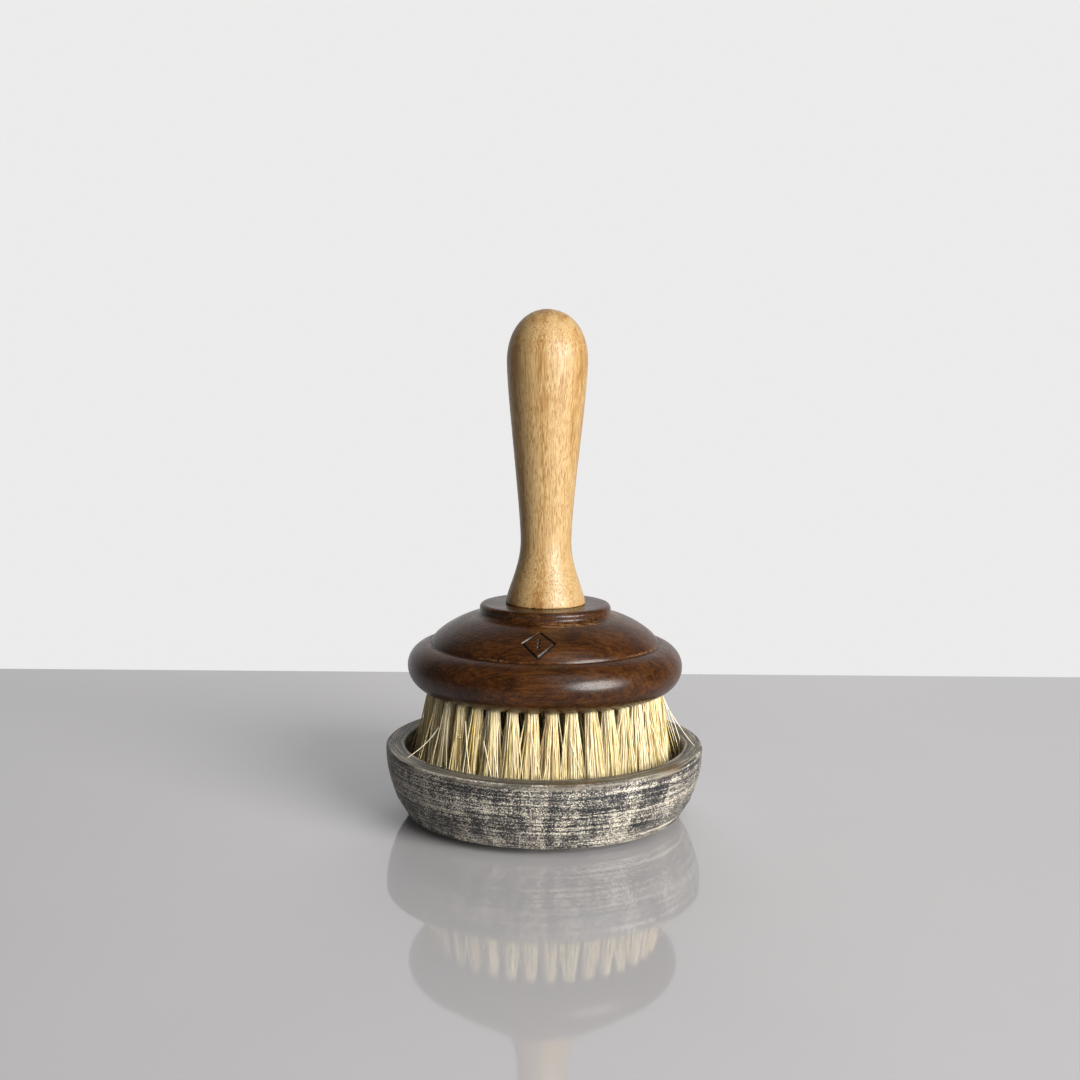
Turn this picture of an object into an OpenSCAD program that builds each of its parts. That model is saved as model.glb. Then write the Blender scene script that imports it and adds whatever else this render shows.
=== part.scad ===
// A beard brush with a turned handle, standing bristles down in its stone rest dish.
// Origin: centre of the dish's underside. +Z runs up through the handle.

/* [Handle] */
// Length of the handle above the head
handle_len = 91.5; // [80:0.5:110]
// Diameter at the thickest place of the grip
grip_d = 25; // [21:0.5:30]
// Diameter at the waist
waist_d = 15.9; // [12:0.1:18]
// Diameter at the foot, where the handle stands on the head
foot_d = 25; // [20:0.5:30]
// Diameter of the turned tenon that is glued into the head
tenon_d = 14; // [8:0.5:14]
// Length of the tenon
tenon_len = 13; // [8:0.5:13]

/* [Head block] */
// Diameter of the head at its rim bead
head_d = 86.6; // [86:0.2:94]
// Height of the head from its underside to the top of its disc
head_h = 26.7; // [26:0.1:32]
// Diameter of the disc that carries the handle
disc_d = 41.4; // [34:0.2:43]

/* [Bristles] */
// Tufts in the outermost ring
outer_tufts = 38; // [34:1:38]
// Distance between rings at the underside of the head
ring_pitch = 5.88; // [5.6:0.02:5.88]
// Diameter of the drilled tuft holes
hole_d = 4.4; // [3.8:0.1:4.4]
// Depth of the tuft holes to the start of the drill point
hole_depth = 10; // [9.5:0.1:10]
// Diameter of a tuft where it has opened out
tuft_d = 5.3; // [4.6:0.1:5.4]
// Length of the bristles below the head
bristle_len = 34.7; // [26:0.1:40]
// Outward lean of the outermost tufts, in degrees
splay = 6.8; // [0:0.1:7]

/* [Anchors] */
// Width of the flat metal anchor that holds each folded tuft
anchor_w = 5.2; // [4.8:0.1:5.2]
// Height of the anchor along the hole
anchor_h = 2; // [1.5:0.1:2.2]
// Thickness of the anchor
anchor_t = 0.45; // [0.3:0.05:0.6]

/* [Rest dish] */
// Height of the dish
dish_h = 23.5; // [18:0.5:28]
// Thickness of the dish's floor
dish_floor = 6; // [4:0.5:8]
// Width of the dish's rim
rim_w = 5.85; // [4.5:0.05:8]
// Space between the bristle tips and the foot of the dish's inner wall
dish_gap = 0.95; // [0.8:0.05:4]

/* [Hidden] */
$fn = 64;
steps = 8; // straight stretches in each long curve of a turned outline
round_steps = 3; // and in each small round

tuft_rings = 6; // rings round the middle tuft: the inner ones have 6, 12, 18, 24 and 30 tufts
tip_gap = 0.4; // bristle tips to dish floor
under_z = dish_floor + tip_gap + bristle_len; // underside of the head
top_z = under_z + head_h; // top of the disc, where the handle stands

// Handle
waist_z = top_z + 0.2175 * handle_len;
grip_z = top_z + 0.83 * handle_len;
handle_top = top_z + handle_len;
foot_chamfer = 0.35;
dome_fullness = 0.575; // 0.552 would make the end a true ellipse
tenon_chamfer = 0.8;
socket_play = 0.1; // glue line round the tenon
socket_spare = 0.5; // room under the tenon

// Head block
bead_round = 7.4; // radius of the rim bead's section
bead_mid = [head_d / 2 - bead_round, under_z + 7.2];
dome_round = 19.35; // radius of the dome's section, which meets the bead in a groove
dome_mid = [head_d / 2 - 24.04, under_z + 4.05];
disc_round = 1.15;
cove_foot = [disc_d / 2 + 2.2, top_z - 3.6];
cove_top = [disc_d / 2, top_z - 2.3];

// Tufts
tuft_phase = -1.5; // turns the rings of tufts about the middle
root_r = hole_d / 2 - 0.05;
tuft_r = tuft_d / 2;
flare_len = 13; // below the head, where a tuft reaches its full width
tip_round = 1;
tuft_len = bristle_len - sin(splay) * (tuft_r - tip_round); // keeps a leaning tip off the floor
fold_gap = 0.2; // folded end of the tuft to the end of the hole
anchor_deep = 7; // mouth of the hole to the near edge of the anchor
slot_play = 0.05; // room round the anchor inside the fold

// Rest dish
spread_r = ring_pitch * tuft_rings + bristle_len * tan(splay) + tuft_r;
well_r = spread_r + dish_gap; // inner wall at the floor
mouth_r = well_r + 1.25; // inner edge of the rim
dish_r = mouth_r + rim_w;
well_fillet = 1.5;
rim_round = 1;
dish_foot = [dish_r - 13.7, 0]; // edge of the flat face that the dish stands on
foot_bevel = [dish_r - 10.55, 1.7]; // upper edge of the bevel round it
heel = [dish_r - 5.25, 4.5]; // where the foot's curve meets the flaring wall
wall_top = [dish_r, dish_h - 2.2];

function tufts_in(ring) = ring == 0 ? 1 : ring == tuft_rings ? outer_tufts : 6 * ring;
function two_digits(i) = str(i < 10 ? "0" : "", i);
function outer_tuft_name(i) = str("tuft_outer_", two_digits(i + 1));
function tuft_ring_name(ring) = ring == 0 ? "tuft_centre" : str("tufts_ring_", ring);
function anchor_ring_name(ring) = ring == 0 ? "anchor_centre" : str("anchors_ring_", ring);

// Point at t, from 0 to 1, on the cubic curve from a to d that leans on b and c
function curve_at(a, b, c, d, t) =
    a * pow(1 - t, 3) + 3 * b * pow(1 - t, 2) * t + 3 * c * (1 - t) * t * t + d * pow(t, 3);

// Points along that curve, its first one left out
function curve(a, b, c, d) = [for (i = [1:steps]) curve_at(a, b, c, d, i / steps)];

// Points on a round about mid, from angle a0 to a1
function round_about(mid, r, a0, a1) =
    [for (i = [0:round_steps]) let (a = a0 + (a1 - a0) * i / round_steps) mid + r * [cos(a), sin(a)]];

// Chamfered foot, waist, swelling grip and domed end
function handle_outline() =
    let (
        foot = [foot_d / 2, top_z + foot_chamfer],
        waist = [waist_d / 2, waist_z],
        grip = [grip_d / 2, grip_z],
        flare = waist_z - top_z,
        swell = grip_z - waist_z,
        dome = handle_top - grip_z
    )
    concat(
        [[0, top_z], [foot_d / 2 - foot_chamfer, top_z], foot],
        curve(foot, foot + [-1.5, 0.33 * flare], waist - [0, 0.4 * flare], waist),
        curve(waist, waist + [0, 0.166 * swell], grip - [0, 0.165 * swell], grip),
        curve(grip, grip + [0, dome_fullness * dome],
              [dome_fullness * grip[0], handle_top], [0, handle_top])
    );

// Flat foot with a bevel, flaring wall, rounded rim, steep inner wall and flat floor
function dish_outline() =
    let (
        rim_out = round_about([dish_r - rim_round, dish_h - rim_round], rim_round, 0, 90),
        well = round_about([well_r, dish_floor] + well_fillet * [-1, 1], well_fillet, 0, -90)
    )
    concat(
        [[0, 0], dish_foot, foot_bevel],
        curve(foot_bevel, foot_bevel + [3.7, 1.8], heel - [1.45, 3.8], heel),
        curve(heel, heel + [2.7, 2.7], wall_top - [0, 5.85], wall_top),
        rim_out,
        [[mouth_r + 0.4, dish_h], [mouth_r, dish_h - 0.4]],
        well,
        [[0, dish_floor]]
    );

// Folded root in the hole, widening neck, full width and rounded tip, hanging down from its hole's mouth
function tuft_outline() = concat(
    [[0, hole_depth - fold_gap], [root_r, hole_depth - fold_gap], [root_r, 0], [tuft_r, -flare_len]],
    round_about([tuft_r - tip_round, tip_round - tuft_len], tip_round, 0, -90),
    [[0, -tuft_len]]
);

// Places its children at tuft i of a ring, with -Z along the tuft and the origin in the hole's mouth
module at_tuft(ring, i) {
    rotate([0, 0, tuft_phase + i * 360 / tufts_in(ring)])
        translate([ring * ring_pitch, 0, under_z])
            rotate([0, -splay * ring / tuft_rings, 0])
                children();
}

module at_ring(ring) {
    for (i = [0:tufts_in(ring) - 1])
        at_tuft(ring, i) children();
}

// Flat underside, rim bead, groove, dome, cove and disc
module head_outline() {
    intersection() {
        translate([0, under_z])
            square([head_d / 2, head_h]);
        union() {
            square([disc_d / 2 - disc_round, top_z]);
            square([disc_d / 2, top_z - disc_round]);
            translate([disc_d / 2 - disc_round, top_z - disc_round])
                circle(r = disc_round);
            polygon([[0, under_z], cove_foot, cove_top, [0, cove_top[1]]]);
            translate(dome_mid)
                circle(r = dome_round);
            square(bead_mid);
            translate(bead_mid)
                circle(r = bead_round);
        }
    }
}

module tuft_hole() {
    translate([0, 0, -1])
        cylinder(h = hole_depth + 1, d = hole_d);
}

module tuft() {
    color("wheat")
        difference() {
            rotate_extrude() polygon(tuft_outline());
            translate([-anchor_t / 2 - slot_play, -hole_d, anchor_deep - slot_play])
                cube([anchor_t + 2 * slot_play, 2 * hole_d, anchor_h + 2 * slot_play]);
        }
}

module anchor() {
    color("silver")
        translate([-anchor_t / 2, -anchor_w / 2, anchor_deep])
            cube([anchor_t, anchor_w, anchor_h]);
}

module dish() {
    color("dimgray")
        rotate_extrude() polygon(dish_outline());
}

module head_block() {
    color("saddlebrown")
        difference() {
            rotate_extrude() head_outline();
            for (ring = [0:tuft_rings])
                at_ring(ring) tuft_hole();
            translate([0, 0, top_z - tenon_len - socket_spare])
                cylinder(h = tenon_len + socket_spare + 1, d = tenon_d + 2 * socket_play);
        }
}

module handle() {
    color("burlywood") {
        rotate_extrude() polygon(handle_outline());
        translate([0, 0, top_z - tenon_len + tenon_chamfer])
            cylinder(h = tenon_len - tenon_chamfer + 1, d = tenon_d);
        translate([0, 0, top_z - tenon_len])
            cylinder(h = tenon_chamfer, d1 = tenon_d - 2 * tenon_chamfer, d2 = tenon_d);
    }
}

dish();
head_block();
handle();
for (i = [0:tufts_in(tuft_rings) - 1])
    at_tuft(tuft_rings, i) tuft();
for (ring = [0:tuft_rings - 1])
    at_ring(ring) tuft();
for (ring = [0:tuft_rings])
    at_ring(ring) anchor();
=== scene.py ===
import math

import bpy
import numpy as np
from mathutils import Euler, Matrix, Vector


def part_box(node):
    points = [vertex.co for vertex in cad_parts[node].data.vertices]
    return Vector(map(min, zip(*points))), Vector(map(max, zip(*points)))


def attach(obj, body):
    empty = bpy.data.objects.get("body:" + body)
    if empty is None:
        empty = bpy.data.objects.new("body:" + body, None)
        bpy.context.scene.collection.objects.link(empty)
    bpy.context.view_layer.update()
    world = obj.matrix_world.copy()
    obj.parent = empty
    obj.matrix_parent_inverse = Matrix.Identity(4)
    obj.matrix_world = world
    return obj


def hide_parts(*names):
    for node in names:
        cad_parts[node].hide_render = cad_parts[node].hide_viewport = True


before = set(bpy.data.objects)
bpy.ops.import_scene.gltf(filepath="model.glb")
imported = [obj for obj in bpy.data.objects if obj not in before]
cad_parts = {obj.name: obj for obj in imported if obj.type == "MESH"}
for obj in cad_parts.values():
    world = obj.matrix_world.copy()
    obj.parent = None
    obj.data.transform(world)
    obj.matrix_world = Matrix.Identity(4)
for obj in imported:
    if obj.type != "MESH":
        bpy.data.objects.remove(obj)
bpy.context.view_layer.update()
mm = 0.001
tau = 2 * math.pi
front = -math.pi / 2     # direction of the brush's front, seen from above

# camera first, then the shared shape helpers
cameraSet = {"place": (-0.00186, -0.4308, 0.13787), "pitch": 0.116, "roll": 0.008, "lens": 46.06}


def addCamera(s):
    data = bpy.data.cameras.new("camera")
    data.lens, data.sensor_width = s["lens"], 36.0
    data.clip_start, data.clip_end = 0.01, 20.0
    camera = bpy.data.objects.new("camera", data)
    camera.location = s["place"]
    turn = Euler((math.pi / 2 - s["pitch"], 0, 0)).to_matrix() @ Euler((0, 0, s["roll"])).to_matrix()
    camera.rotation_euler = turn.to_euler()
    bpy.context.scene.collection.objects.link(camera)
    bpy.context.scene.camera = camera


addCamera(cameraSet)
print("camera placed")


def cubicRun(a, b, c, d, count):
    # count points after a on the cubic (1-t)^3 a + 3(1-t)^2 t b + 3(1-t) t^2 c + t^3 d
    a, b, c, d = (np.asarray(p, float) for p in (a, b, c, d))
    t = np.linspace(0, 1, count + 1)[1:, None]
    return (1 - t) ** 3 * a + 3 * (1 - t) ** 2 * t * b + 3 * (1 - t) * t ** 2 * c + t ** 3 * d


def arcRun(mid, rx, rz, start, end, count):
    # count + 1 points of mid + (rx cos a, rz sin a), a going from start to end in degrees
    a = np.radians(np.linspace(start, end, count + 1))
    return np.column_stack([mid[0] + rx * np.cos(a), mid[1] + rz * np.sin(a)])


def lineRun(a, b, count):
    # count points after a on the straight line to b
    t = np.linspace(0, 1, count + 1)[1:, None]
    return (1 - t) * np.asarray(a, float) + t * np.asarray(b, float)


def alongOutline(outline):
    # distance run along the outline up to each of its points
    return np.concatenate([[0], np.cumsum(np.hypot(*np.diff(outline, axis=0).T))])


def spreadAngles(count, fineCount=0, fineSpan=0.0, fineTurn=0.0):
    # angles once round from the front, with fineCount of them packed into fineSpan about front + fineTurn
    if not fineCount:
        return front + np.linspace(0, tau, count, endpoint=False)
    fine = np.linspace(-fineSpan / 2, fineSpan / 2, fineCount)
    rest = np.linspace(fineSpan / 2, tau - fineSpan / 2, count - fineCount + 2)[1:-1]
    return front + fineTurn + np.concatenate([fine, rest])


def swell(angle, along, seed, waves, turns, pitch):
    # sum of random cosines, each with a whole number of turns round the axis so that the seam closes,
    # and a wavelength of at least pitch along the outline; about 1 high
    rng = np.random.default_rng(seed)
    total = np.zeros(np.broadcast(angle, along).shape)
    for turn, wave, phase in zip(rng.integers(-turns, turns + 1, waves),
                                 rng.uniform(-tau, tau, waves) / pitch, rng.uniform(0, tau, waves)):
        total += np.cos(turn * angle + wave * along + phase)
    return total * math.sqrt(2 / waves)


def smoothStep(x, low, high):
    # 0 below low, 1 above high, 3t^2 - 2t^3 between
    t = np.clip((x - low) / (high - low), 0, 1)
    return t * t * (3 - 2 * t)


def bell(x, middle, width):
    # exp(-((x - middle) / width)^2)
    return np.exp(-((x - middle) / width) ** 2)


def meshPiece(name, points, faceSets, attributes=()):
    # one mesh object from whole arrays: points (n, 3), and arrays of corner numbers for each face size
    mesh = bpy.data.meshes.new(name)
    corners = np.concatenate([f.ravel() for f in faceSets]).astype(np.int32)
    sizes = np.concatenate([np.full(len(f), f.shape[1]) for f in faceSets])
    mesh.vertices.add(len(points))
    mesh.vertices.foreach_set("co", np.ascontiguousarray(points, np.float32).ravel())
    mesh.loops.add(len(corners))
    mesh.loops.foreach_set("vertex_index", corners)
    mesh.polygons.add(len(sizes))
    mesh.polygons.foreach_set("loop_start", np.concatenate([[0], np.cumsum(sizes)[:-1]]).astype(np.int32))
    mesh.polygons.foreach_set("use_smooth", np.ones(len(sizes), bool))
    mesh.update(calc_edges=True)
    for key, values in dict(attributes).items():
        mesh.attributes.new(key, "FLOAT", "POINT").data.foreach_set("value", values.astype(np.float32).ravel())
    piece = bpy.data.objects.new(name, mesh)
    bpy.context.scene.collection.objects.link(piece)
    return piece


def turnedPiece(name, outline, angles, relief, attributes=()):
    # outline (r, z) in mm from axis to axis, turned through the angles: (r cos a, r sin a, z),
    # each point first pushed along the outline's outward normal (dz, -dr) by the relief in mm
    step = np.gradient(outline, axis=0)
    normal = np.column_stack([step[:, 1], -step[:, 0]]) / (np.hypot(*step.T)[:, None] + 1e-9)
    r = outline[1:-1, :1] + normal[1:-1, :1] * relief[1:-1]
    z = outline[1:-1, 1:] + normal[1:-1, 1:] * relief[1:-1]
    rows, columns = len(outline) - 2, len(angles)
    ring = np.stack([r * np.cos(angles), r * np.sin(angles), z], axis=-1).reshape(-1, 3)
    points = np.concatenate([ring, [[0, 0, outline[0, 1]], [0, 0, outline[-1, 1]]]]) * mm
    here = np.arange(columns)
    there = np.roll(here, -1)
    base = np.arange(rows - 1)[:, None] * columns
    quads = np.stack([base + here, base + there, base + columns + there, base + columns + here], axis=-1)
    low, high, top = rows * columns, rows * columns + 1, (rows - 1) * columns
    first = np.column_stack([np.full(columns, low), there, here])
    last = np.column_stack([np.full(columns, high), top + here, top + there])
    named = {k: np.concatenate([v[1:-1].ravel(), [v[0].mean(), v[-1].mean()]]) for k, v in dict(attributes).items()}
    return meshPiece(name, points, [quads.reshape(-1, 4), first, last], named)


# material helpers
def startFinish(name):
    material = bpy.data.materials.new(name)
    material.use_nodes = True
    tree = material.node_tree
    return material, tree, tree.nodes["Principled BSDF"], tree.nodes.new("ShaderNodeTexCoord").outputs["Object"]


def setSocket(tree, socket, value):
    if isinstance(value, bpy.types.NodeSocket):
        tree.links.new(value, socket)
    else:
        socket.default_value = (*value, 1.0) if isinstance(value, tuple) and len(value) == 3 \
            and socket.type == "RGBA" else value


def noiseField(tree, coords, stretch, detail=3.0, rough=0.55, warp=0.0):
    # noise on coordinates multiplied by stretch, so 1000 makes a feature about 1 mm wide
    mapping = tree.nodes.new("ShaderNodeMapping")
    mapping.inputs["Scale"].default_value = stretch
    tree.links.new(coords, mapping.inputs["Vector"])
    noise = tree.nodes.new("ShaderNodeTexNoise")
    tree.links.new(mapping.outputs["Vector"], noise.inputs["Vector"])
    for key, value in (("Scale", 1.0), ("Detail", detail), ("Roughness", rough), ("Distortion", warp)):
        noise.inputs[key].default_value = value
    return noise.outputs["Fac"]


def rampOf(tree, factor, stops):
    # colour ramp through (place, colour) stops
    ramp = tree.nodes.new("ShaderNodeValToRGB")
    tree.links.new(factor, ramp.inputs["Fac"])
    while len(ramp.color_ramp.elements) < len(stops):
        ramp.color_ramp.elements.new(0.5)
    for element, (place, colour) in zip(ramp.color_ramp.elements, stops):
        element.position = place
        element.color = (*colour, 1.0) if isinstance(colour, tuple) else (colour, colour, colour, 1.0)
    return ramp.outputs["Color"]


def mathOf(tree, operation, a, b=0.0, clamp=False):
    node = tree.nodes.new("ShaderNodeMath")
    node.operation, node.use_clamp = operation, clamp
    setSocket(tree, node.inputs[0], a)
    setSocket(tree, node.inputs[1], b)
    return node.outputs["Value"]


def spanOf(tree, value, low, high, outLow=0.0, outHigh=1.0):
    # value from low to high becomes outLow to outHigh, clamped
    node = tree.nodes.new("ShaderNodeMapRange")
    setSocket(tree, node.inputs["Value"], value)
    for key, number in (("From Min", low), ("From Max", high), ("To Min", outLow), ("To Max", outHigh)):
        node.inputs[key].default_value = number
    return node.outputs["Result"]


def mixOf(tree, factor, a, b, blend="MIX"):
    node = tree.nodes.new("ShaderNodeMix")
    node.data_type, node.blend_type = "RGBA", blend
    setSocket(tree, node.inputs["Factor"], factor)
    setSocket(tree, node.inputs[6], a)
    setSocket(tree, node.inputs[7], b)
    return node.outputs[2]


def attributeOf(tree, name):
    node = tree.nodes.new("ShaderNodeAttribute")
    node.attribute_name = name
    return node.outputs["Fac"]


def bumpOf(tree, height, strength, distance, normal=None):
    node = tree.nodes.new("ShaderNodeBump")
    node.inputs["Strength"].default_value = strength
    node.inputs["Distance"].default_value = distance
    tree.links.new(height, node.inputs["Height"])
    if normal is not None:
        tree.links.new(normal, node.inputs["Normal"])
    return node.outputs["Normal"]


def dress(piece, material, body, slot, *nodes):
    # material, body to ride on, slot (not used) and the CAD nodes that the piece stands for
    piece.data.materials.clear()
    piece.data.materials.append(material)
    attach(piece, body)
    if nodes:
        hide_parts(*nodes)


# handle: pale hardwood, turned along its grain
handleSet = {
    "foot": 12.55, "waist": 7.97, "grip": 12.62,        # radii in mm
    "waistAt": 0.2175, "gripAt": 0.83,                 # shares of the length above the head
    "columns": 256, "nickAngle": -18, "nick": 0.28,    # nick in the foot's edge: degrees from the front, mm deep
    "pale": (0.56, 0.395, 0.190), "honey": (0.44, 0.265, 0.096), "brown": (0.25, 0.115, 0.031),
    "pore": (0.24, 0.112, 0.031), "rough": (0.30, 0.46),
}


def handleOutline(s, low, high):
    # chamfered foot, concave flare to the waist, long swelling grip, domed end
    length = high - low
    waist = np.array([s["waist"], low + s["waistAt"] * length])
    grip = np.array([s["grip"], low + s["gripAt"] * length])
    foot = np.array([s["foot"], low + 0.45])
    flare, rise, dome = waist[1] - low, grip[1] - waist[1], high - grip[1]
    return np.concatenate([
        [[0, low]], lineRun((0, low), (foot[0] - 0.4, low), 8), cubicRun((foot[0] - 0.4, low), (foot[0] - 0.1, low),
                                                                         foot - (0, 0.3), foot, 4),
        cubicRun(foot, foot + (-1.5, 0.33 * flare), waist - (0, 0.4 * flare), waist, 46),
        cubicRun(waist, waist + (0, 0.166 * rise), grip - (0, 0.165 * rise), grip, 80),
        cubicRun(grip, grip + (0, 0.575 * dome), (0.59 * grip[0], high), (0, high), 44)])


def handleFinish(s):
    # long grain up the handle, dark pore dashes, soft growth bands and a rubbed satin oil
    material, tree, shader, coords = startFinish("oiled_pale_hardwood")
    bands = noiseField(tree, coords, (260, 150, 8), 2, 0.5, 0.3)
    grain = noiseField(tree, coords, (1900, 1900, 42), 4, 0.66)
    fine = noiseField(tree, coords, (3600, 3600, 180), 3, 0.6)
    pores = noiseField(tree, coords, (4400, 4400, 270), 1, 0.4)
    zone = noiseField(tree, coords, (420, 420, 60), 3)
    tone = mathOf(tree, "ADD", mathOf(tree, "MULTIPLY", bands, 0.5), mathOf(tree, "MULTIPLY", grain, 0.5))
    colour = rampOf(tree, tone, [(0.37, s["brown"]), (0.46, s["honey"]), (0.54, s["pale"]), (0.66, s["honey"])])
    colour = mixOf(tree, spanOf(tree, fine, 0.44, 0.68, 0.0, 0.55), colour, s["brown"])
    reach = mathOf(tree, "ADD", pores, mathOf(tree, "MULTIPLY", mathOf(tree, "SUBTRACT", zone, 0.5), 0.25))
    dash = spanOf(tree, reach, 0.57, 0.68)
    colour = mixOf(tree, mathOf(tree, "MULTIPLY", dash, 0.8), colour, s["pore"])
    tree.links.new(colour, shader.inputs["Base Color"])
    rub = noiseField(tree, coords, (420, 420, 160), 3)
    tree.links.new(spanOf(tree, mathOf(tree, "ADD", rub, mathOf(tree, "MULTIPLY", dash, 0.4)), 0.35, 0.8,
                          *s["rough"]), shader.inputs["Roughness"])
    shader.inputs["Specular IOR Level"].default_value = 0.42
    height = mathOf(tree, "SUBTRACT", mathOf(tree, "MULTIPLY", grain, 0.35), mathOf(tree, "MULTIPLY", dash, 0.9))
    tree.links.new(bumpOf(tree, height, 0.35, 0.00012), shader.inputs["Normal"])
    return material


def makeHandle(s):
    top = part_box("handle")[1].z / mm
    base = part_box("head_block")[1].z / mm
    outline = handleOutline(s, base, top)
    angles = spreadAngles(s["columns"])
    run = alongOutline(outline)[:, None]
    z = outline[:, 1:]
    relief = 0.035 * swell(angles, run, 11, 24, 5, 26) * smoothStep(z, base, base + 1.5)
    relief = relief + 0.006 * swell(angles, run, 12, 18, 2, 1.1) * smoothStep(z, base, base + 1.5)
    around = (angles - front - math.radians(s["nickAngle"]) + math.pi) % tau - math.pi
    relief = relief - s["nick"] * bell(around * s["foot"], 0, 0.55) * bell(z, base + 0.35, 0.4)
    piece = turnedPiece("handle_turned", outline, angles, relief - 0.03 * smoothStep(z, base + 3, base + 6))
    dress(piece, handleFinish(s), "brush", "handle_wood", "handle")


makeHandle(handleSet)
print("handle turned")


# head block: dark stained wood, grain lying flat along X
headSet = {
    "beadMid": 35.1, "beadWide": 8.2, "beadRise": 7.3, "beadUp": 7.25, "beadDown": 7.7,   # mm
    "domeFoot": (35.92, 14.5), "domeHead": (22.9, 23.06), "discFoot": (20.68, 24.3), "disc": 20.7, "discRound": 1.27,
    "columns": 430, "fineColumns": 96, "fineSpan": 19.5,     # the fine columns carry the engraved mark
    "mark": {"wide": 4.8, "tall": 5.5, "line": 0.34, "deep": 0.42, "dot": 0.55, "dots": 1.6, "at": 31.0, "turn": -3.8},
    "stain": (0.036, 0.0112, 0.0022), "deepStain": (0.011, 0.0034, 0.0008), "warm": (0.096, 0.033, 0.0062),
    "rubbed": (0.38, 0.20, 0.085), "pore": (0.003, 0.002, 0.0012), "rough": (0.22, 0.37),
}


def headOutline(s, low, high):
    # flat underside, elliptical bead, groove, dome, cove, upright disc with a rounded edge, flat top
    mid = np.array([s["beadMid"], low + s["beadRise"]])
    start = -math.degrees(math.asin(s["beadRise"] / s["beadDown"]))
    under = arcRun(mid, s["beadWide"], s["beadDown"], start, 0, 24)
    upper = arcRun(mid, s["beadWide"], s["beadUp"], 0, 77, 30)[1:]
    foot = np.array([s["domeFoot"][0], low + s["domeFoot"][1]])
    head = np.array([s["domeHead"][0], low + s["domeHead"][1]])
    side = np.array([s["discFoot"][0], low + s["discFoot"][1]])
    edge = np.array([s["disc"], high - s["discRound"]])
    top = np.array([s["disc"] - s["discRound"], high])
    return np.concatenate([
        [[0, low]], lineRun((0, low), under[0], 12)[:-1], under, upper,
        cubicRun(upper[-1], upper[-1] + (-0.55, -0.13), foot + (0.13, -0.45), foot, 9),
        cubicRun(foot, foot + (-0.8, 2.85), head + (5.7, -1.42), head, 92),
        cubicRun(head, head + (-0.95, 0.24), side + (0.30, -0.75), side, 12),
        cubicRun(side, side + (-0.05, 0.25), edge + (0.0, -0.3), edge, 4),
        cubicRun(edge, edge + (0, 0.55 * s["discRound"]), top + (0.45 * s["discRound"], 0), top, 9),
        lineRun(top, (0, high), 10)])


def engrave(around, up, s):
    # 1 on the lines of a plain lozenge |u|/wide + |v|/tall = 1 and on three dots in a row down its middle
    scale = s["wide"] * s["tall"] / math.hypot(s["wide"], s["tall"])
    edge = np.abs(np.abs(around) / s["wide"] + np.abs(up) / s["tall"] - 1) * scale
    cut = 1 - smoothStep(edge, s["line"] * 0.45, s["line"] * 1.25)
    for middle in (-s["dots"], 0.0, s["dots"]):
        cut = np.maximum(cut, 1 - smoothStep(np.hypot(around, up - middle), s["dot"] * 0.5, s["dot"]))
    return cut


def headFinish(s):
    # walnut stain over flat grain, dark pores, stain rubbed off on the edges, painted shade in the groove and dark
    # lines in the engraved mark
    material, tree, shader, coords = startFinish("stained_turned_wood")
    blotch = noiseField(tree, coords, (75, 150, 150), 4, 0.66, 0.3)
    grain = noiseField(tree, coords, (80, 1300, 1300), 4, 0.62)
    fine = noiseField(tree, coords, (700, 3600, 3600), 3, 0.65)
    speck = noiseField(tree, coords, (1500, 2900, 2900), 2, 0.5)
    tone = mathOf(tree, "ADD", mathOf(tree, "MULTIPLY", grain, 0.55), mathOf(tree, "MULTIPLY", blotch, 0.45))
    colour = rampOf(tree, tone, [(0.39, s["deepStain"]), (0.50, s["stain"]), (0.64, s["warm"])])
    colour = mixOf(tree, spanOf(tree, fine, 0.45, 0.72, 0.0, 0.55), colour, s["warm"])
    wear = mathOf(tree, "MULTIPLY", attributeOf(tree, "wear"),
                  spanOf(tree, mathOf(tree, "ADD", mathOf(tree, "MULTIPLY", fine, 0.5),
                                      mathOf(tree, "MULTIPLY", grain, 0.5)), 0.47, 0.60))
    colour = mixOf(tree, wear, colour, s["rubbed"])
    spot = spanOf(tree, speck, 0.60, 0.67)
    colour = mixOf(tree, mathOf(tree, "MULTIPLY", spot, 0.75), colour, s["pore"])
    # painted shade: the groove is darkened towards the pore colour, and so are the engraved mark's lines
    grooveShadeAndMarkLines = attributeOf(tree, "grooveShadeAndMarkLines")
    colour = mixOf(tree, grooveShadeAndMarkLines, colour, s["pore"])
    tree.links.new(colour, shader.inputs["Base Color"])
    haze = noiseField(tree, coords, (160, 160, 160), 4, 0.6)
    tree.links.new(spanOf(tree, mathOf(tree, "ADD", haze, mathOf(tree, "MULTIPLY", wear, 0.5)), 0.3, 0.9,
                          *s["rough"]), shader.inputs["Roughness"])
    shader.inputs["Specular IOR Level"].default_value = 0.36
    height = mathOf(tree, "SUBTRACT", mathOf(tree, "ADD", mathOf(tree, "MULTIPLY", grain, 0.5),
                                             mathOf(tree, "MULTIPLY", fine, 0.25)),
                    mathOf(tree, "MULTIPLY", spot, 0.35))
    tree.links.new(bumpOf(tree, height, 0.45, 0.00012), shader.inputs["Normal"])
    return material


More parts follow.
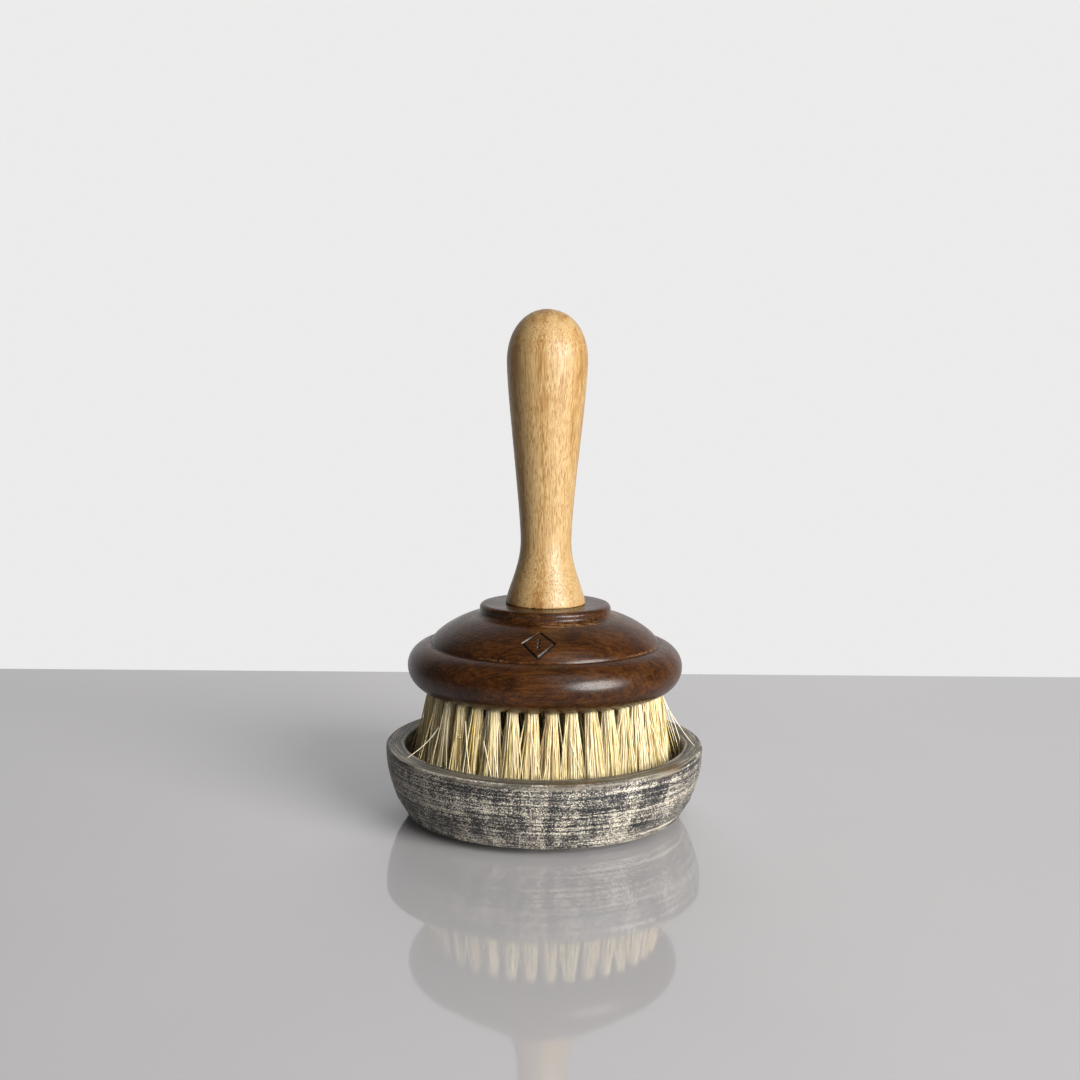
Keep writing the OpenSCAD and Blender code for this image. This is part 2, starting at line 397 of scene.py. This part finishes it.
def makeHead(s):
    boxLow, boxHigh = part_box("head_block")
    low, high = boxLow.z / mm, boxHigh.z / mm
    outline = headOutline(s, low, high)
    angles = spreadAngles(s["columns"], s["fineColumns"], math.radians(s["fineSpan"]), math.radians(s["mark"]["turn"]))
    run = alongOutline(outline)[:, None]
    r, z = outline[:, :1], outline[:, 1:]
    free = smoothStep(z, low, low + 1.0) * smoothStep(high - z, 0.0, 0.6)
    relief = 0.05 * swell(angles, run, 21, 30, 6, 30) * free + 0.007 * swell(angles, run, 22, 16, 2, 0.9) * free
    onDome = smoothStep(z, low + 14.0, low + 14.4)
    markRun = np.interp(-s["mark"]["at"], -outline[:, 0][z[:, 0] > low + 14], run[:, 0][z[:, 0] > low + 14])
    around = ((angles - front - math.radians(s["mark"]["turn"]) + math.pi) % tau - math.pi) * s["mark"]["at"]
    cut = engrave(around, run - markRun, s["mark"]) * onDome
    relief = relief - s["mark"]["deep"] * cut
    lip = 0.65 * bell(z, low + 14.75, 0.28) + 1.1 * bell(r, s["domeHead"][0] - 0.3, 1.1) * (z > low + 20)
    edge = 0.5 * bell(r, s["disc"], 0.5) * smoothStep(z, high - 1.6, high - 0.4)
    patch = smoothStep(swell(angles, run, 23, 26, 9, 16) + 1.1 * np.cos(angles - front - 0.75), 0.4, 1.5)
    wear = np.clip(lip * patch + edge * smoothStep(swell(angles, run, 25, 20, 20, 9), 0.7, 1.6), 0, 1)
    # painted shade along the groove between the bead and the dome; with the mark's dark lines it makes the darkening
    # mixed into the colour
    inGroove = bell(z, low + 14.2, 0.25) * bell(r, s["domeFoot"][0] + 0.3, 0.35)
    grooveShadeAndMarkLines = np.clip(0.3 * inGroove + 1.0 * smoothStep(cut, 0.25, 0.8), 0, 1)
    piece = turnedPiece("head_turned", outline, angles, relief, {"wear": wear, "grooveShadeAndMarkLines": grooveShadeAndMarkLines + 0 * wear})
    dress(piece, headFinish(s), "brush", "head_wood", "head_block")


makeHead(headSet)
print("head block turned and engraved")


# rest dish: lathe-turned speckled stone, honed smooth on the rim and inside
dishSet = {
    "foot": 36.42, "bevel": (39.57, 1.7), "heel": (44.87, 4.5), "edge": 50.12, "wallTop": 2.2,   # mm
    "mouth": 44.27, "well": 43.02, "floor": 6.0,
    "fillet": 1.5, "rimRound": 0.9, "columns": 360,
    "bands": 0.12, "pitch": 0.4, "chatter": 0.04,      # tool lines, their spacing and long waves, mm
    "cream": (0.74, 0.68, 0.565), "grey": (0.105, 0.097, 0.085), "black": (0.011, 0.012, 0.017),
    "rim": (0.105, 0.095, 0.076), "rimDark": (0.028, 0.026, 0.024), "rimPale": (0.30, 0.27, 0.215),
    "stain": (0.15, 0.080, 0.018), "rough": (0.42, 0.62),
    "stains": [(-40, 5.0, 1.7), (-80, 9.0, 0.7)],      # degrees round, reach along the rim in mm, strength
}


def dishOutline(s, high):
    # flat foot, bevel, turned heel, leaning wall, rounded rim, steep inner wall, filleted floor
    foot, bevel, heel = np.array([s["foot"], 0.0]), np.array(s["bevel"]), np.array(s["heel"])
    wallTop = np.array([s["edge"], high - s["wallTop"]])
    rimMid = np.array([s["edge"] - s["rimRound"], high - s["rimRound"]])
    outer = arcRun(rimMid, s["rimRound"], s["rimRound"], 0, 90, 12)
    inner = np.array([s["mouth"], high - 0.45])
    fillet = arcRun((s["well"] - s["fillet"], s["floor"] + s["fillet"]), s["fillet"], s["fillet"], 0, -90, 10)
    return np.concatenate([
        [[0, 0]], lineRun((0, 0), foot, 10), lineRun(foot, bevel - (0.25, 0.22), 6),
        cubicRun(bevel - (0.25, 0.22), bevel - (0.1, 0.09), bevel + (0.1, 0.02), bevel + (0.3, 0.12), 4),
        cubicRun(bevel + (0.3, 0.12), bevel + (3.7, 1.8), heel - (1.45, 3.8), heel, 40),
        cubicRun(heel, heel + (2.7, 2.7), wallTop - (0, 5.85), wallTop, 96),
        outer, lineRun(outer[-1], inner + (0.45, 0.45), 24),
        cubicRun(inner + (0.45, 0.45), inner + (0.15, 0.45), inner + (0, 0.15), inner, 6),
        lineRun(inner, fillet[0], 40)[:-1], fillet, lineRun(fillet[-1], (0, s["floor"]), 16)])


def dishFinish(s):
    # cream and black crystals in turned courses, with dark clouds; the honed rim is grey-brown with fine rings
    material, tree, shader, coords = startFinish("speckled_turned_stone")
    speck = noiseField(tree, coords, (2900, 2900, 3300), 2, 0.65)
    course = noiseField(tree, coords, (520, 520, 2700), 2, 0.5)
    longCourse = noiseField(tree, coords, (22, 22, 1250), 2, 0.5)
    cloud = noiseField(tree, coords, (150, 150, 34), 3, 0.62, 0.5)
    tone = mathOf(tree, "MULTIPLY", mathOf(tree, "SUBTRACT", speck, 0.5), 2.5)
    for field, weight in ((course, 0.6), (longCourse, 1.15), (cloud, 1.0)):
        tone = mathOf(tree, "ADD", tone, mathOf(tree, "MULTIPLY", mathOf(tree, "SUBTRACT", field, 0.5), weight))
    tone = mathOf(tree, "ADD", tone, 0.5)
    wall = rampOf(tree, tone, [(0.425, s["black"]), (0.585, s["grey"]), (0.80, s["cream"])])
    ring = noiseField(tree, ringCoords(tree, coords), (1500, 3.5, 900), 3, 0.6)
    dust = noiseField(tree, coords, (1500, 1500, 1500), 3, 0.7)
    honed = mathOf(tree, "ADD", mathOf(tree, "MULTIPLY", ring, 0.68), mathOf(tree, "MULTIPLY", dust, 0.32))
    rim = rampOf(tree, honed, [(0.42, s["rimDark"]), (0.50, s["rim"]), (0.60, s["rimPale"])])
    colour = mixOf(tree, attributeOf(tree, "honed"), wall, rim)
    colour = mixOf(tree, mathOf(tree, "MULTIPLY", attributeOf(tree, "edge"), spanOf(tree, dust, 0.4, 0.6)),
                   colour, s["cream"])
    stain = mathOf(tree, "MULTIPLY", attributeOf(tree, "stain"), spanOf(tree, dust, 0.38, 0.56))
    colour = mixOf(tree, stain, colour, s["stain"])
    chips = mathOf(tree, "MULTIPLY", mathOf(tree, "ADD", attributeOf(tree, "flecks"),
                                            mathOf(tree, "MULTIPLY", attributeOf(tree, "stain"), 0.8)),
                   spanOf(tree, speck, 0.54, 0.62))
    colour = mixOf(tree, chips, colour, s["black"])
    tree.links.new(colour, shader.inputs["Base Color"])
    tree.links.new(spanOf(tree, tone, 0.3, 0.7, *s["rough"]), shader.inputs["Roughness"])
    shader.inputs["Specular IOR Level"].default_value = 0.45
    height = mathOf(tree, "ADD", mathOf(tree, "MULTIPLY", speck, 0.7), mathOf(tree, "MULTIPLY", course, 0.6))
    tree.links.new(bumpOf(tree, height, 0.5, 0.0002), shader.inputs["Normal"])
    return material


def ringCoords(tree, coords):
    # (distance from the axis, angle, height): lines that follow the lathe come from noise on these
    split = tree.nodes.new("ShaderNodeSeparateXYZ")
    tree.links.new(coords, split.inputs["Vector"])
    x, y, z = (split.outputs[axis] for axis in "XYZ")
    reach = mathOf(tree, "SQRT", mathOf(tree, "ADD", mathOf(tree, "MULTIPLY", x, x), mathOf(tree, "MULTIPLY", y, y)))
    join = tree.nodes.new("ShaderNodeCombineXYZ")
    for key, value in (("X", reach), ("Y", mathOf(tree, "DIVIDE", y, reach)), ("Z", z)):
        tree.links.new(value, join.inputs[key])
    return join.outputs["Vector"]


def makeDish(s):
    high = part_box("dish")[1].z / mm
    outline = dishOutline(s, high)
    angles = spreadAngles(s["columns"])
    run = alongOutline(outline)[:, None]
    r, z = outline[:, :1], outline[:, 1:]
    outside = np.arange(len(outline))[:, None] < np.argmax(outline[:, 1]) + 1
    onWall = outside * smoothStep(z, 1.2, 2.4) * smoothStep(high - z, 0.2, 2.0)
    rng = np.random.default_rng(31)
    marks = np.arange(0, 200, s["pitch"])
    lines = np.interp(run, marks, rng.normal(0, 1, len(marks)))
    relief = s["bands"] * 0.5 * lines * (0.55 + 0.45 * swell(angles, run, 32, 24, 7, 30)) * onWall
    relief = relief - s["chatter"] * (1 + swell(angles, run, 33, 24, 5, 24)) * onWall
    inside = (~outside) * smoothStep(z, s["floor"] + 0.2, s["floor"] + 1.5) * smoothStep(high - z, 0.2, 1.5)
    relief = relief + 0.03 * lines * (inside + (~outside) * bell(z, high, 0.3))
    uneven = 0.45 * swell(angles, run * 0, 34, 20, 14, 30)
    honed = np.where(outside, smoothStep(z + uneven, high - 1.25, high - 0.45), 1.0)
    edge = bell(r - z, s["edge"] - high - 0.1, 0.4) * smoothStep(swell(angles, run * 0, 35, 24, 30, 30), -0.4, 0.8)
    edge = edge * (z > high - 2)
    stain = 0 * relief
    for angle, reach, strength in s["stains"]:
        away = ((angles - math.radians(angle) + math.pi) % tau - math.pi) * s["edge"]
        stain = stain + strength * bell(away, 0, reach) * bell(r - z, s["edge"] - high - 1.2, 1.8) * (z > high - 3)
    stain = np.clip(stain, 0, 1)
    flecks = smoothStep(swell(angles, run * 0, 36, 30, 90, 30), 0.9, 1.6) * bell(r - z, s["edge"] - high - 0.6, 0.7)
    flecks = flecks * (z > high - 2) * smoothStep(np.cos(angles - front), 0.2, 0.9)
    piece = turnedPiece("dish_turned", outline, angles, relief,
                        {"honed": honed, "edge": edge + 0 * relief, "stain": stain, "flecks": flecks + 0 * relief})
    dress(piece, dishFinish(s), "rest_dish", "dish_stone", "dish")


makeDish(dishSet)
print("rest dish turned")


# bristles: plant fibres folded into drilled holes, six rings of tufts about a middle one
bristleSet = {
    "rings": 6, "root": 1.68, "radius": (0.138, 0.105),     # mm: bundle at its hole, fibre at root and tip
    "outer": {"fibres": 130, "sides": 5, "segments": 9}, "inner": {"fibres": 56, "sides": 4, "segments": 6},
    "flare": 0.74, "flareLength": 14.0,                    # widening of a bundle, and the depth over which it opens
    "splayShare": 0.6,                                     # of the frame's outward lean of the bundles
    "lean": 2.1, "outliers": 0.10, "outlierLean": 6.5,     # degrees, share of the fibres, degrees
    "sway": 0.8, "bend": 1.0, "wave": 0.24, "trim": (6.2, 7.1), "buried": 2.0, "wallGap": 0.42, "seed": 400,
    "cream": (0.95, 0.86, 0.62), "straw": (0.88, 0.73, 0.38), "gold": (0.68, 0.47, 0.15),
    "olive": (0.45, 0.42, 0.07), "pink": (0.50, 0.31, 0.17), "rough": 0.32,
}


def bristleFinish(s):
    # dyed by each fibre's own tint, a little darker towards the cut tips, with faint streaks along it
    material, tree, shader, coords = startFinish("trimmed_plant_bristle")
    tint, along = attributeOf(tree, "tint"), attributeOf(tree, "along")
    colour = rampOf(tree, tint, [(0.0, s["cream"]), (0.35, s["cream"]), (0.62, s["straw"]), (0.84, s["straw"]),
                                 (0.90, s["gold"]), (0.955, s["olive"]), (0.98, s["pink"])])
    streak = noiseField(tree, coords, (3200, 3200, 150), 2, 0.5)
    colour = mixOf(tree, spanOf(tree, streak, 0.35, 0.75, 0.0, 0.18), colour, s["gold"])
    colour = mixOf(tree, spanOf(tree, along, 0.55, 1.0, 0.0, 0.18), colour, s["gold"])
    tree.links.new(colour, shader.inputs["Base Color"])
    shader.inputs["Roughness"].default_value = s["rough"]
    shader.inputs["Specular IOR Level"].default_value = 0.5
    tree.links.new(bumpOf(tree, streak, 0.25, 0.00006), shader.inputs["Normal"])
    return material


def sweepFibres(paths, radii, sides):
    # paths (fibres, points, 3) and radii (fibres, points): rings P + r (e1 cos a + e2 sin a), with
    # e1 = T x y and e2 = T x e1 square to the path's direction T; both ends closed with one face each
    count, steps = paths.shape[:2]
    ahead = np.gradient(paths, axis=1)
    ahead /= np.linalg.norm(ahead, axis=2, keepdims=True)
    side = np.cross(ahead, [0.0, 1.0, 0.0])
    side /= np.linalg.norm(side, axis=2, keepdims=True)
    other = np.cross(ahead, side)
    a = np.arange(sides) * tau / sides
    ring = side[:, :, None] * np.cos(a)[:, None] + other[:, :, None] * np.sin(a)[:, None]
    points = (paths[:, :, None] + radii[:, :, None, None] * ring).reshape(-1, 3)
    start = (np.arange(count) * steps * sides)[:, None, None]
    base = start + (np.arange(steps - 1) * sides)[None, :, None]
    here, there = np.arange(sides), np.roll(np.arange(sides), -1)
    quads = np.stack([base + here, base + there, base + sides + there, base + sides + here], axis=-1).reshape(-1, 4)
    first = start[:, 0] + here[::-1]
    last = start[:, 0] + (steps - 1) * sides + here
    return points, quads, np.concatenate([first, last])


def wallLimit(z, gap):
    # inner wall of the dish less the gap, falling away above the rim so that strays may pass over it
    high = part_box("dish")[1].z / mm
    t = np.clip((z - dishSet["floor"]) / (high - dishSet["floor"]), 0, 1)
    return dishSet["well"] + t * (dishSet["mouth"] - dishSet["well"]) - gap + 30 * smoothStep(z, high, high + 10)


def tuftPaths(root, axis, s, kind, rng):
    # fibres spread over the bundle's disc, opening by flare (1 - e^(-d / flareLength)); the bundle sways a
    # little, and each fibre has its own lean, gentle bend d^2, slow wave and trimmed height
    count, steps = kind["fibres"], kind["segments"] + 1
    outward = np.array([root[0], root[1], 0]) / max(np.hypot(*root[:2]), 1e-6)
    if np.hypot(*root[:2]) < 0.1:
        outward = np.array([1.0, 0, 0])
    across = np.cross([0, 0, 1.0], outward)
    outward = np.cross(across, -axis)
    share = np.sqrt((np.arange(count) + 0.5) / count)
    turn = np.arange(count) * 2.39996 + rng.uniform(0, tau)
    place = share * np.array([np.cos(turn), np.sin(turn)]) * s["root"] + rng.normal(0, 0.06, (2, count))
    lean = np.radians(np.where(rng.random(count) < s["outliers"], s["outlierLean"], s["lean"]))
    lean = lean * rng.normal(0, 1, (2, count)) + np.radians(rng.normal(0, s["sway"], (2, 1)))
    bend = rng.normal(0, s["bend"], (2, count))
    wave, phase = rng.normal(0, s["wave"], (2, count)), rng.uniform(0, tau, (2, count))
    tip = rng.uniform(*s["trim"], count)
    length = (root[2] - tip) / -axis[2]
    depth = -s["buried"] + np.linspace(0, 1, steps)[None, :] * (length[:, None] + s["buried"])
    below = np.maximum(depth, 0)
    spread = 1 + s["flare"] * (1 - np.exp(-below / s["flareLength"]))
    t = below / length[:, None]
    offset = place[:, :, None] * spread + lean[:, :, None] * below + bend[:, :, None] * t * t \
        + wave[:, :, None] * np.sin(phase[:, :, None] + t * 4.4) * smoothStep(t, 0, 0.25)
    points = root + depth[..., None] * axis + offset[0][..., None] * outward + offset[1][..., None] * across
    # softly held inside the dish's wall: limit - w ln(1 + e^((limit - r) / w))
    reach = np.hypot(points[..., 0], points[..., 1])
    limit = wallLimit(points[..., 2], s["wallGap"])
    soft = 0.35
    held = limit - soft * np.logaddexp(0, (limit - reach) / soft)
    points[..., :2] *= (held / np.maximum(reach, 1e-6))[..., None]
    points[..., 2] = np.maximum(points[..., 2], s["trim"][0])
    return points, np.linspace(0, 1, steps)[None, :] + np.zeros((count, 1))


def tuftMesh(name, roots, s, kind, rng, material, *nodes):
    parts, faces, caps, tints, alongs, start = [], [], [], [], [], 0
    for root, axis in roots:
        paths, along = tuftPaths(root, axis, s, kind, rng)
        size = rng.uniform(0.82, 1.15, (len(paths), 1))
        radii = size * (s["radius"][0] + (s["radius"][1] - s["radius"][0]) * along)
        radii[:, -1] *= 0.72
        points, quads, ends = sweepFibres(paths, radii, kind["sides"])
        parts.append(points)
        faces.append(quads + start)
        caps.append(ends + start)
        tints.append(np.repeat(rng.random(len(paths)), along.shape[1] * kind["sides"]))
        alongs.append(np.repeat(along.ravel(), kind["sides"]))
        start += len(points)
    piece = meshPiece(name, np.concatenate(parts) * mm, [np.concatenate(faces), np.concatenate(caps)],
                      {"tint": np.concatenate(tints), "along": np.concatenate(alongs)})
    dress(piece, material, "brush", "bristle", *nodes)


def readTuft(node):
    # hole mouth and axis of one CAD tuft: the longest direction of its points, crossed with the underside
    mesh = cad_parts[node].data
    spots = np.empty(len(mesh.vertices) * 3)
    mesh.vertices.foreach_get("co", spots)
    spots = np.unique(np.round(spots.reshape(-1, 3) / mm, 4), axis=0)
    middle = spots.mean(0)
    axis = np.linalg.svd(spots - middle)[2][0]
    axis *= -np.sign(axis[2])
    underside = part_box("head_block")[0].z / mm
    return middle + axis * (underside - middle[2]) / axis[2], axis


def makeBristles(s):
    material = bristleFinish(s)
    outerRoot, outerAxis = readTuft("tuft_outer_01")
    reach, phase = np.hypot(*outerRoot[:2]), math.atan2(outerRoot[1], outerRoot[0])
    splay = s["splayShare"] * math.atan2(np.hypot(*outerAxis[:2]), -outerAxis[2])
    outerCount = sum(name.startswith("tuft_outer_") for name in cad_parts)
    for ring in range(s["rings"], -1, -1):
        count, share = outerCount if ring == s["rings"] else max(6 * ring, 1), ring / s["rings"]
        turns = phase + np.arange(count) * tau / count
        roots = [(np.array([reach * share * math.cos(a), reach * share * math.sin(a), outerRoot[2]]),
                  np.array([math.sin(splay * share) * math.cos(a), math.sin(splay * share) * math.sin(a),
                            -math.cos(splay * share)])) for a in turns]
        if ring == s["rings"]:
            for i, spot in enumerate(roots, 1):
                tuftMesh("bristles_outer_%02d" % i, [spot], s, s["outer"],
                         np.random.default_rng(s["seed"] + i), material, "tuft_outer_%02d" % i)
        else:
            tuftMesh("bristles_ring_%d" % ring if ring else "bristles_centre", roots, s, s["inner"],
                     np.random.default_rng(s["seed"] + 50 + ring), material,
                     "tufts_ring_%d" % ring if ring else "tuft_centre")
        print("bristles: ring %d, %d tufts" % (ring, count))
    return material


bristleMaterial = makeBristles(bristleSet)


# loose fibres that have left their tufts: (angle, distance from the axis, height) from root to tip, degrees and mm
straySet = {
    "radius": 0.13, "sides": 6, "segments": 14, "tint": 0.1,
    "lines": [
        [(-146, 38.6, 33.0), (-147, 40.6, 29.5), (-148, 43.6, 26.8), (-149.5, 48.2, 23.9)],
        [(-13, 38.2, 38.0), (-12, 41.0, 33.5), (-11, 44.3, 28.2), (-9.5, 47.8, 23.9)],
        [(-128, 38.2, 37.0), (-126, 39.6, 30.0), (-123, 40.6, 20.0), (-119, 41.2, 12.0)],
        [(-118, 38.4, 32.0), (-115, 39.8, 28.0), (-112, 40.8, 20.0), (-108, 41.0, 12.0)],
        [(-96, 38.4, 36.0), (-94, 40.0, 28.0), (-90, 41.2, 20.0), (-88, 41.4, 11.0)],
        [(-79, 38.6, 34.0), (-77, 40.2, 27.0), (-72, 41.2, 19.0), (-68, 41.4, 11.0)],
        [(-131, 38.0, 32.0), (-130, 39.5, 31.5), (-128.8, 40.6, 32.5), (-128.4, 41.0, 33.5)],
    ],
}


def makeStrays(s, material):
    t = np.linspace(0, 1, s["segments"] + 1)[:, None]
    weights = np.concatenate([(1 - t) ** 3, 3 * (1 - t) ** 2 * t, 3 * (1 - t) * t ** 2, t ** 3], axis=1)
    legs = np.array(s["lines"], float)
    turn = np.radians(legs[..., 0])
    corners = np.stack([legs[..., 1] * np.cos(turn), legs[..., 1] * np.sin(turn), legs[..., 2]], axis=-1)
    paths = weights @ corners
    radii = np.full(paths.shape[:2], s["radius"]) * (1 - 0.35 * t[:, 0])
    points, quads, ends = sweepFibres(paths, radii, s["sides"])
    along = np.repeat(np.tile(t[:, 0], len(paths)), s["sides"])
    piece = meshPiece("stray_fibres", points * mm, [quads, ends],
                      {"tint": np.full(len(points), s["tint"]), "along": 0.5 * along})
    dress(piece, material, "brush", "bristle")


makeStrays(straySet, bristleMaterial)
print("stray fibres laid")


# anchors: flat steel staples inside the folds, kept as the frame has them
anchorSet = {"steel": (0.56, 0.56, 0.55), "dark": (0.36, 0.35, 0.34), "rough": (0.28, 0.5), "metal": 1.0}


def anchorFinish(s):
    material, tree, shader, coords = startFinish("rolled_steel_strip")
    rolled = noiseField(tree, coords, (900, 900, 9000), 3)
    tree.links.new(rampOf(tree, rolled, [(0.3, s["dark"]), (0.7, s["steel"])]), shader.inputs["Base Color"])
    tree.links.new(spanOf(tree, rolled, 0.3, 0.7, *s["rough"]), shader.inputs["Roughness"])
    shader.inputs["Metallic"].default_value = s["metal"]
    return material


steelStrip = anchorFinish(anchorSet)
for name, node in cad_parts.items():
    if name.startswith("anchor"):
        node.data.materials.clear()
        node.data.materials.append(steelStrip)
print("anchors finished in steel")


# pale counter, pale surroundings, one large low soft light from the right and weaker ones overhead and behind
stageSet = {
    "counter": (0.49, 0.48, 0.492), "rough": 0.05, "shine": 0.9, "ends": (-1.5, 1.5), "near": -2.0, "far": 0.21,
    "wall": (0.875, 0.865, 0.865), "seen": 0.965, "front": 0.085, "behind": 0.80,
    "key": {"place": (0.92, -1.02, 0.478), "size": 1.013, "watts": 41.0, "colour": (1.0, 0.985, 0.955)},
    "side": {"place": (0.35, -0.5, 1.1), "size": 0.8, "watts": 2.0, "colour": (0.97, 0.98, 1.0)},
    "back": {"place": (0.05, 0.95, 0.7), "size": 0.9, "watts": 5.0, "colour": (1.0, 1.0, 1.0), "mirrored": False},
}


def counterFinish(s):
    material, tree, shader, coords = startFinish("honed_pale_counter")
    haze = noiseField(tree, coords, (9, 9, 9), 3, 0.6)
    tree.links.new(mixOf(tree, spanOf(tree, haze, 0.3, 0.7, 0.0, 0.12), s["counter"],
                         tuple(0.8 * c for c in s["counter"])), shader.inputs["Base Color"])
    shader.inputs["Roughness"].default_value = s["rough"]
    shader.inputs["Specular IOR Level"].default_value = s["shine"]
    return material


def softLight(name, s, floor=None, state="EXCLUDE"):
    # a lamp turned to the brush; with a floor it leaves the floor out, or with "INCLUDE" lights nothing else
    data = bpy.data.lights.new(name, "AREA")
    data.shape, data.energy, data.size, data.color = "DISK", s["watts"], s["size"], s["colour"]
    lamp = bpy.data.objects.new(name, data)
    lamp.location = s["place"]
    aim = Vector((0, 0, 0.07)) - Vector(s["place"])
    lamp.rotation_euler = aim.to_track_quat("-Z", "Y").to_euler()
    lamp.visible_glossy = s.get("mirrored", True)
    bpy.context.scene.collection.objects.link(lamp)
    if floor:
        lit = bpy.data.collections.new(name + "_receivers")
        lit.objects.link(floor)
        lit.collection_objects[0].light_linking.link_state = state
        lamp.light_linking.receiver_collection = lit
        lamp.visible_glossy = state == "EXCLUDE"


def makeStage(s):
    (x0, x1), y0, y1 = s["ends"], s["near"], s["far"]
    floor = meshPiece("counter", np.array([[x0, y0, 0], [x1, y0, 0], [x1, y1, 0], [x0, y1, 0]], float),
                      [np.array([[0, 1, 2, 3]])])
    floor.data.materials.append(counterFinish(s))
    world = bpy.data.worlds.new("pale_room")
    bpy.context.scene.world = world
    world.use_nodes = True
    tree = world.node_tree
    path = tree.nodes.new("ShaderNodeLightPath")
    back = tree.nodes["Background"]
    back.inputs["Color"].default_value = (*s["wall"], 1)
    # the wall behind shines on the object more than the room in front of it
    split = tree.nodes.new("ShaderNodeSeparateXYZ")
    tree.links.new(tree.nodes.new("ShaderNodeTexCoord").outputs["Generated"], split.inputs["Vector"])
    room = spanOf(tree, split.outputs["Y"], 0.45, 0.95, s["front"], s["behind"])
    seen = mathOf(tree, "MULTIPLY", path.outputs["Is Camera Ray"], mathOf(tree, "SUBTRACT", s["seen"], room))
    tree.links.new(mathOf(tree, "ADD", seen, room), back.inputs["Strength"])
    # the counter gets the key light without its mirror image
    softLight("key", s["key"], floor)
    softLight("key_on_counter", s["key"], floor, "INCLUDE")
    softLight("side", s["side"])
    softLight("back", s["back"])
    bpy.context.scene.view_settings.view_transform = "Standard"


makeStage(stageSet)
print("counter and lights set")
